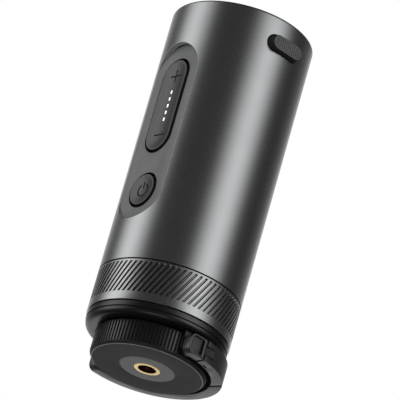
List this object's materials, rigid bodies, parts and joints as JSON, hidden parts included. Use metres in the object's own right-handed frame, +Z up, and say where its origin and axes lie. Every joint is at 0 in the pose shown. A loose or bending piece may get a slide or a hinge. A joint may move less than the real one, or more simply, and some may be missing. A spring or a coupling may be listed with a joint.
{
  "type": "electric air mattress pump",
  "caption": "Pocket cordless air pump: a slim metal tube with a level rocker and power button, ribbed ring, knurled cap with a tripod thread, and a folding hanging hook.",
  "frame": {"origin": "centre of the tripod thread's mouth on the cap's flat face, which is the face the pump stands on", "axes": "+Z up the tube towards the air outlet, -Y towards the control panel, +X towards the charging port"},
  "size_m": [0.0454, 0.0437, 0.1154],
  "materials": {
    "tube_metal": "satin gunmetal anodised",
    "ring_metal": "satin, slanted ribs",
    "base_metal": "satin dark anodised",
    "cap_metal": "matt dark grey with a knurled edge",
    "hook_metal": "matt grey coating",
    "pad_rubber": "matt grey",
    "insert_brass": "polished",
    "panel_plastic": "fine matt grey",
    "button_plastic": "satin grey",
    "light_plastic": "milky",
    "plug_rubber": "matt black",
    "black_plastic": "matt black",
    "seal_rubber": "black",
    "steel": "bright",
    "fan_plastic": "off-white",
    "copper_wire": "lacquered windings",
    "cell_wrap": "shrink wrap",
    "board_green": "solder mask"
  },
  "bodies": {
    "housing": {"body_tube": "tube_metal", "control_panel": "panel_plastic", "tail_sleeve": "black_plastic", "base_plate": "base_metal", "base_screws": "steel", "tube_seal": "seal_rubber", "outlet_plate": "black_plastic", "outlet_screws": "steel", "outlet_nozzle": "black_plastic", "intake_mesh": "steel", "fan_housing": "fan_plastic", "fan_cover": "fan_plastic", "motor_can": "steel", "motor_stator": "copper_wire", "motor_bearings": "steel", "motor_screws": "steel", "battery_cells": "cell_wrap", "battery_tray": "fan_plastic", "battery_frame": "fan_plastic", "battery_contacts": "insert_brass", "control_board": "board_green", "board_screws": "steel", "tact_switches": "black_plastic", "level_leds": "light_plastic", "usb_socket": "steel", "usb_board": "board_green", "hook_pivots": "steel"},
    "lock_ring": {"grip_ring": "ring_metal"},
    "cap": {"screw_cap": "cap_metal", "cap_pad": "pad_rubber", "tripod_insert": "insert_brass", "cap_seal": "seal_rubber"},
    "hook": {"hook_arc": "hook_metal", "hook_nose": "hook_metal"},
    "gate": {"hook_gate": "hook_metal", "gate_hinge_pin": "steel"},
    "rocker": {"level_rocker": "button_plastic", "rocker_axle": "steel", "level_lights": "light_plastic"},
    "power": {"power_button": "button_plastic"},
    "plug": {"port_plug": "plug_rubber"},
    "rotor": {"impeller": "black_plastic", "motor_shaft": "steel", "rotor_magnet": "steel"}
  },
  "joints": [
    {"name": "lock_ring_turn", "type": "hinge", "parent": "housing", "child": "lock_ring", "pos_m": [0, 0, 0.0182], "axis": [0, 0, 1], "range_deg": [0, 30]},
    {"name": "cap_unscrew", "type": "hinge", "parent": "housing", "child": "cap", "pos_m": [0, 0, 0], "axis": [0, 0, 1], "range_deg": [0, 720]},
    {"name": "hook_swing", "type": "hinge", "parent": "housing", "child": "hook", "pos_m": [0, -0.0013, 0.00425], "axis": [-1, 0, 0], "range_deg": [0, 105]},
    {"name": "gate_open", "type": "hinge", "parent": "hook", "child": "gate", "pos_m": [0.01343, 0.01601, 0.00425], "axis": [0, 0, 1], "range_deg": [0, 40], "stiffness_Nm_per_rad": 0.004, "springref_deg": -14.32},
    {"name": "level_rock", "type": "hinge", "parent": "housing", "child": "rocker", "pos_m": [0, -0.0176, 0.077], "axis": [1, 0, 0], "range_deg": [-2.5, 2.5], "stiffness_Nm_per_rad": 0.4},
    {"name": "power_press", "type": "slide", "parent": "housing", "child": "power", "axis": [0, 1, 0], "range_m": [0, 0.0005], "stiffness_N_per_m": 600},
    {"name": "port_plug_pull", "type": "slide", "parent": "housing", "child": "plug", "axis": [1, 0, 0], "range_m": [0, 0.007]},
    {"name": "rotor_spin", "type": "hinge", "parent": "housing", "child": "rotor", "pos_m": [0, 0.002, 0.075], "axis": [0, 0, 1], "continuous": true}
  ]
}
